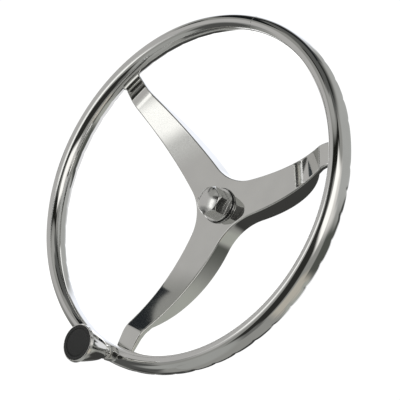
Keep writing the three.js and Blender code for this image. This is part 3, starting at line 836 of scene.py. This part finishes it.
def ring(bore, outer, low, high, bore_round, low_round, high_round, steps=5):
    """A washer's profile, with its outer edges rounded more than its bore's."""
    return rounded([
        (bore, low, bore_round), (outer, low, low_round), (outer, high, high_round),
        (bore, high, bore_round)], steps)


def build_washer():
    """The thin bright washer under the O-ring."""
    low, high = node_span("hub_washer")
    outer = 20.2
    profile = ring(PLATE_HOLE, outer, low, high, 0.15, 0.2, 0.28)
    finish_piece(
        lathe(profile), "washer", "wheel", ["hub_washer"], MIRROR_CROWN)


# ---- knob ------------------------------------------------------------------------------------


def knob_height(above_rim):
    return RIM_PLANE + above_rim


def build_knob():
    """The knob's hollow body with its rolled lip, and the black cap in it. Outlines are (radius,
    height above the rim's centre plane)."""
    segments = 144
    body = smooth_line([
        (7.45, 25.2), (7.55, 27.4), (8.7, 30.4), (10.75, 34.4), (12.75, 40.0), (14.5, 46.0),
        (16.1, 52.0), (17.45, 58.0), (18.05, 61.6)], 6)
    lip = [(18.15, 62.2, 0.15), (19.3, 62.4, 0.5), (19.6, 63.1, 0.5), (18.8, 65.6, 0.5),
           (18.3, 66.0, 0.3), (17.8, 66.0, 0.15), (17.8, 63.7, 0.1), (16.2, 63.7, 0.2)]
    inside = [(16.0, 58.5), (13.4, 54.0), (11.3, 52.6), (12.3, 52.6), (12.3, 51.15),
              (11.3, 51.15), (11.3, 43.7), (9.5, 43.7), (6.0, 34.0)]
    foot = [(6.0, 24.6), (6.3, 24.3), (7.0, 24.3), (7.3, 24.6)]
    round_lip = rounded([(*body[-1], 0), *lip, (*inside[0], 0)], 4)[1:-1]
    outline = foot + body + round_lip + inside
    shell = lathe([(r, knob_height(h)) for r, h in outline], segments, KNOB_CENTRE)
    finish_piece(shell, "knob_body", "knob", ["knob_shell"], MIRROR)
    edge = rounded([(17.5, 64.0, 0.2), (17.5, 65.75, 0.35), (16.9, 66.0, 0.5), (13.6, 65.9, 3.0)])
    face = smooth_line([(13.0, 65.92), (9.0, 66.04), (4.5, 66.12)], 5) + [(0.0, 66.14)]
    under = [(0.0, 64.0), (14.6, 64.0), (14.6, 60.2), (14.8, 60.0), (15.4, 60.0), (15.6, 60.2),
             (15.6, 64.0)]
    cap = lathe([(r, knob_height(h)) for r, h in under + edge + face], segments, KNOB_CENTRE)
    finish_piece(cap, "knob_end_cap", "knob", ["knob_cap"], BLACK_CAP)


def build_jam_nut():
    """The lock nut under the knob, chamfered on both sides."""
    low, high = node_span("knob_jam_nut")
    across_flats = 14.3
    corner = across_flats / math.sqrt(3)
    wide = corner + 0.35
    bore, bore_bevel = 4.8, 0.4
    flat_inset = 1.5
    softness = 0.25
    # The chamfer's points are (radius, depth from the nut's face).
    chamfer = [(corner - 1.9, 0.0), (corner - 1.1, 0.08), (corner - 0.3, 0.55), (wide, 1.1)]
    outline = [(bore, low + bore_bevel), (bore + bore_bevel, low)]
    outline += [(radius, low + depth) for radius, depth in chamfer]
    outline += [(wide, h) for h in spread(low + flat_inset, high - flat_inset, 8)]
    outline += [(radius, high - depth) for radius, depth in reversed(chamfer)]
    outline += [(bore + bore_bevel, high), (bore, high - bore_bevel)]
    finish_piece(
        hex_body(outline, across_flats, KNOB_CENTRE, softness), "jam_nut", "wheel",
        ["knob_jam_nut"], MIRROR)


def build_knob_boss():
    """The knob's foot, which flares out over the rim under the lock nut."""
    low, high = node_span("knob_boss")
    bore, neck, flare = 4.8, 6.0, 8.0
    profile = rounded([
        (bore, low, 0.2), (neck, low, 0.3), (neck, high - 0.9, 0.5), (flare, high - 1.15, 0.5),
        (neck + 0.9, high - 0.25, 0.8), (neck, high, 0.3), (bore, high, 0.2)], 4)
    finish_piece(
        lathe(profile, 96, KNOB_CENTRE), "knob_foot", "wheel", ["knob_boss"],
        MIRROR)


def build_small_rings():
    """The thrust washer and the bush, whose flange shows in the gap under the knob."""
    outer, washer_bore = 7.0, 4.8
    low, high = node_span("knob_thrust_washer")
    washer = ring(washer_bore, outer, low, high, 0.1, 0.2, 0.2, 3)
    finish_piece(
        lathe(washer, 96, KNOB_CENTRE), "thrust_washer", "wheel", ["knob_thrust_washer"],
        TURNED)
    low, high = node_span("knob_bush")
    flange_thickness = 1.0
    flange_top = low + flange_thickness
    bore, body = 4.3, 5.7
    bush = rounded([
        (bore, low, 0.1), (outer, low, 0.2), (outer, flange_top, 0.2), (body, flange_top, 0.1),
        (body, high, 0.3), (bore, high, 0.1)], 3)
    finish_piece(
        lathe(bush, 96, KNOB_CENTRE), "bush", "knob", ["knob_bush"], NYLON)


build_rim()
build_spider()
build_tongue_welds()
build_boss()
build_cap_nut()
build_seal()
build_washer()
build_knob()
build_jam_nut()
build_knob_boss()
build_small_rings()

# ---- materials of the CAD nodes that stay ----------------------------------------------------

NODE_MATERIALS = {
    "rim_joint_sleeve": TURNED,
    "knob_spindle": TURNED,
    "bearing_inner_race": BEARING,
    "bearing_outer_race": BEARING,
    "bearing_ball_set": BEARING,
    "bearing_rear_shield": BEARING,
    "bearing_front_shield": BEARING,
    "bearing_circlip": BEARING,
    "spindle_washer": TURNED,
    "spindle_screw": TURNED,
}
for node, material in NODE_MATERIALS.items():
    mesh = frame["nodes"][node].data
    mesh.materials.clear()
    mesh.materials.append(material)

# ---- studio: floor, backdrop, light, in metres -----------------------------------------------

FLOOR_RADIUS = 7.0
FLOOR_DROP = 1.2
FLOOR_GLOW = 0.72
BACKDROP_RADIUS = 8.0
BACKDROP_GLOW = 1.05


def stage_piece(bm, name, material, place, hidden_from):
    """A thing that isn't part of the wheel, and that some kinds of ray don't see."""
    thing = new_object(bm, name, material)
    thing.location = place
    for ray in hidden_from:
        setattr(thing, f"visible_{ray}", False)
    return thing


def sphere(subdivisions, radius):
    bm = bmesh.new()
    bmesh.ops.create_icosphere(bm, subdivisions=subdivisions, radius=radius)
    return bm


def build_floor():
    """A pale floor below the wheel, bright enough to meet the backdrop without a line."""
    material, nodes, shader = new_material("pale_floor")
    cloud = nodes.noise(nodes.coordinates(), 3.0)
    nodes.put(shader, "Base Color", nodes.blotches(cloud, (0.86, 0.86, 0.86), (0.88, 0.88, 0.88)))
    nodes.put(shader, "Roughness", 0.9)
    nodes.put(shader, "Emission Color", (1, 1, 1, 1))
    nodes.put(shader, "Emission Strength", FLOOR_GLOW)
    bm = bmesh.new()
    bmesh.ops.create_circle(bm, cap_ends=True, radius=FLOOR_RADIUS, segments=96)
    stage_piece(bm, "floor", material, (0, 0, cad_low.z - FLOOR_DROP), ("glossy", "diffuse"))


def build_backdrop():
    """A white dome round everything, seen only behind the object."""
    material, nodes = empty_material("backdrop_white")
    glow = nodes.add("ShaderNodeEmission", {"Color": (1, 1, 1, 1), "Strength": BACKDROP_GLOW})
    nodes.add("ShaderNodeOutputMaterial", {"Surface": glow.outputs[0]})
    stage_piece(
        sphere(4, BACKDROP_RADIUS), "backdrop", material, (0, 0, 0),
        ("glossy", "diffuse", "shadow", "transmission"))


# The walls, soft boxes and dark cards round the wheel, drawn on a dome that only reflections see.
# Each panel is (azimuth, half width, elevation, half height, tilt, edge softness, color), with its
# angles in degrees from the dome's centre. Azimuth 0 is in front and 90 to the driver's right.
# A later panel covers the ones before it, and ROOM is the color between them.
DOME_CENTRE = (0.0, -0.3, 0.0)
DOME_RADIUS = 0.9
NOT_REFLECTIONS = ("camera", "diffuse", "shadow", "transmission")
ROOM = (0.30, 0.30, 0.285)
PANELS = [
    (0, 200, 87, 28, 2, 12, (0.105, 0.107, 0.103)),
    (-73, 79, -2, 27, -14, 9, (0.475, 0.468, 0.458)),
    (-102, 60, -59, 20, 12, 10, (0.085, 0.086, 0.083)),
    (-147, 35, 69, 8, -16, 8, (0.012, 0.014, 0.017)),
    (132, 45, 76, 5, 3, 8, (0.020, 0.021, 0.019)),
    (-89, 33, 49, 8, -3, 4, (0.008, 0.009, 0.010)),
    (-74.8, 10, 31.2, 2.5, -35.8, 0.4, (0.020, 0.023, 0.026)),
    (-172, 24, 1, 18, 0, 6, (0.85, 0.85, 0.87)),
    (-154, 24, 31, 19, -31, 9, (1.05, 1.08, 1.16)),
    (-140, 22, -9, 13, -34, 6, (1.5, 1.5, 1.5)),
    (30, 54, 37, 9, 22, 7, (0.012, 0.012, 0.010)),
    (26, 18, 10, 20, 29, 8, (0.032, 0.032, 0.030)),
    (59, 29, -23, 38, 22, 9, (0.028, 0.028, 0.026)),
    (4, 35, 50, 7, 25, 6, (0.37, 0.37, 0.355)),
    (79, 22, 22, 20, -17, 11, (1.22, 1.20, 1.16)),
    (110, 14, 21, 14, 19, 12, (0.76, 0.74, 0.71)),
    (97, 15, -50, 7, 12, 7, (0.15, 0.15, 0.145)),
    (120, 19, -22, 11, 14, 6, (0.50, 0.47, 0.41)),
    (157, 44, 36, 22, -2, 12, (0.425, 0.430, 0.418)),
    (152, 14, -16, 6, 0, 5, (0.40, 0.41, 0.375)),
    (143, 22, 0, 9, 10, 6, (0.09, 0.095, 0.085)),
    (-171, 27, -25, 8, 0, 6, (0.046, 0.046, 0.044)),
    (0, 200, -80, 16, 4, 12, (0.365, 0.37, 0.355)),
    (-54, 28, -30, 5, -9, 10, (0.25, 0.25, 0.245)),
    (-121.5, 13, -24, 11.5, -55, 4, (1.45, 1.45, 1.45)),
    (-122, 18, 56, 4.5, -12, 5, (0.012, 0.013, 0.015)),
    (-25, 17, 59, 6, 0, 5, (0.018, 0.018, 0.017)),
    (-168, 25, -38, 6, -29, 6, (0.048, 0.048, 0.046)),
    (160, 14, 11, 3.5, 0, 4, (0.075, 0.077, 0.072)),
    (-101.6, 7.0, -1.9, 0.75, -22, 0.3, (0.045, 0.045, 0.044)),
    (-114.0, 8.0, 0.6, 1.7, -24, 0.5, (0.030, 0.036, 0.041)),
]
# Two soft lights nearer than the dome, on upright cards that face the wheel. Both stand in one plane
# in front of it. Each is (x, half width, z, half height, edge softness, color).
CARD_DISTANCE = 0.592
CARDS = [
    (-0.10, 0.155, -0.06, 0.20, 0.12, (0.78, 0.79, 0.77)),
    (-0.09, 0.075, -0.06, 0.16, 0.075, (1.3, 1.29, 1.26)),
]


def build_world():
    """A plain soft light from all round, stronger from above."""
    below, above = 0.35, 0.75
    world = bpy.data.worlds.new("studio")
    bpy.context.scene.world = world
    world.use_nodes = True
    nodes = Nodes(world.node_tree)
    coords = nodes.add("ShaderNodeTexCoord")
    split = nodes.add("ShaderNodeSeparateXYZ", {"Vector": coords.outputs["Generated"]})
    strength = nodes.ranged(split.outputs[2], below, above, -1.0, 1.0)
    background = nodes.add(
        "ShaderNodeBackground", {"Color": (1.0, 0.995, 0.985, 1.0), "Strength": strength})
    nodes.add("ShaderNodeOutputWorld", {"Surface": background.outputs[0]})


def soft_band(nodes, across, half, soft):
    """1 inside a band and 0 outside it, with soft edges."""
    step = nodes.add("ShaderNodeMapRange", {
        "Value": nodes.math("ABSOLUTE", across), "From Min": half - soft / 2,
        "From Max": half + soft / 2, "To Min": 1.0, "To Max": 0.0},
        interpolation_type="SMOOTHSTEP")
    return step.outputs[0]


def soft_rectangle(nodes, sideways, upward, half_width, half_height, tilt, soft):
    """1 inside a tilted rectangle and 0 outside it, with soft edges."""
    cosine, sine = math.cos(math.radians(tilt)), math.sin(math.radians(tilt))
    along = nodes.math(
        "ADD", nodes.math("MULTIPLY", sideways, cosine), nodes.math("MULTIPLY", upward, sine))
    across = nodes.math(
        "SUBTRACT", nodes.math("MULTIPLY", upward, cosine), nodes.math("MULTIPLY", sideways, sine))
    return nodes.math(
        "MULTIPLY", soft_band(nodes, along, half_width, soft),
        soft_band(nodes, across, half_height, soft))


def panel_mask(nodes, azimuth, elevation, place):
    """1 where the dome shows a panel, whose place is its row of PANELS without the color."""
    panel_azimuth, half_width, panel_elevation, half_height, tilt, soft = place
    sideways = nodes.math("WRAP", nodes.math("SUBTRACT", azimuth, panel_azimuth), 180.0)
    # The third input is the low end of the wrapped range.
    sideways.node.inputs[2].default_value = -180.0
    upward = nodes.math("SUBTRACT", elevation, panel_elevation)
    return soft_rectangle(nodes, sideways, upward, half_width, half_height, tilt, soft)


def dome_material():
    """Walls of one color, with the panels laid over them one after another."""
    material, nodes = empty_material("studio_walls")
    coords = nodes.add("ShaderNodeTexCoord")
    toward = nodes.add(
        "ShaderNodeVectorMath", {0: coords.outputs["Object"]}, operation="NORMALIZE")
    x, y, z = nodes.add("ShaderNodeSeparateXYZ", {"Vector": toward.outputs[0]}).outputs
    azimuth = nodes.math("ARCTAN2", x, nodes.math("MULTIPLY", y, -1.0))
    azimuth = nodes.math("MULTIPLY", azimuth, math.degrees(1))
    elevation = nodes.math("MULTIPLY", nodes.math("ARCSINE", z), math.degrees(1))
    color = (*ROOM, 1.0)
    # A color mix has its two colors in inputs 6 and 7, and its result in output 2.
    for *place, tint in PANELS:
        mask = panel_mask(nodes, azimuth, elevation, place)
        mix = nodes.add("ShaderNodeMix", {0: mask, 6: color, 7: (*tint, 1.0)}, data_type="RGBA")
        color = mix.outputs[2]
    glow = nodes.add("ShaderNodeEmission", {"Color": color, "Strength": 1.0})
    nodes.add("ShaderNodeOutputMaterial", {"Surface": glow.outputs[0]})
    material.cycles.emission_sampling = "NONE"
    return material


def card_material(name, half_width, half_height, soft, tint):
    """Light on a card that fades out towards the edges of its lit part."""
    material, nodes = empty_material(name)
    coords = nodes.add("ShaderNodeTexCoord")
    x, _, z = nodes.add("ShaderNodeSeparateXYZ", {"Vector": coords.outputs["Object"]}).outputs
    mask = soft_rectangle(nodes, x, z, half_width, half_height, 0, soft)
    glow = nodes.add("ShaderNodeEmission", {"Color": (*tint, 1.0), "Strength": 1.0})
    clear = nodes.add("ShaderNodeBsdfTransparent")
    mixed = nodes.add("ShaderNodeMixShader", {0: mask, 1: clear.outputs[0], 2: glow.outputs[0]})
    nodes.add("ShaderNodeOutputMaterial", {"Surface": mixed.outputs[0]})
    material.cycles.emission_sampling = "NONE"
    return material


def build_cards():
    """Soft lights that stand nearer than the studio walls, seen only in reflections."""
    for number, (x, half_width, z, half_height, soft, tint) in enumerate(CARDS, 1):
        name = f"soft_light_{number}"
        reach = half_width + half_height + soft
        bm = bmesh.new()
        corners = ((-1, -1), (1, -1), (1, 1), (-1, 1))
        bm.faces.new([bm.verts.new((reach * a, 0, reach * b)) for a, b in corners])
        material = card_material(name, half_width, half_height, soft, tint)
        stage_piece(bm, name, material, (x, -CARD_DISTANCE, z), NOT_REFLECTIONS)


def build_dome():
    """The studio walls round the wheel, seen only in its reflections."""
    dome = stage_piece(
        sphere(5, 1.0), "studio_walls", dome_material(), DOME_CENTRE, NOT_REFLECTIONS)
    dome.scale = (DOME_RADIUS, DOME_RADIUS, DOME_RADIUS)


# The camera stands to the driver's right, a little below the hub, and is rolled. The two directions
# are those of its right side and of its back.
CAMERA_PLACE = (0.8528, -0.9689, -0.0673)
CAMERA_RIGHT = (0.67860, 0.61108, 0.40753)
CAMERA_BACK = (0.68488, -0.72691, -0.05042)
CAMERA_LENS = 105.19
IMAGE_SIZE = 400


def build_camera():
    data = bpy.data.cameras.new("camera")
    data.sensor_width = 36.0
    data.lens = CAMERA_LENS
    half_pixel = 0.5 / IMAGE_SIZE
    data.shift_x = -half_pixel
    data.shift_y = half_pixel
    data.clip_start = 0.05
    data.clip_end = 100.0
    camera = bpy.data.objects.new("camera", data)
    right = Vector(CAMERA_RIGHT).normalized()
    back = Vector(CAMERA_BACK).normalized()
    up = back.cross(right).normalized()
    turn = Matrix((right, up, back)).transposed().to_4x4()
    camera.matrix_world = Matrix.Translation(CAMERA_PLACE) @ turn
    bpy.context.scene.collection.objects.link(camera)
    bpy.context.scene.camera = camera


build_floor()
build_backdrop()
build_world()
build_dome()
build_cards()
build_camera()
bpy.context.scene.view_settings.view_transform = "Standard"
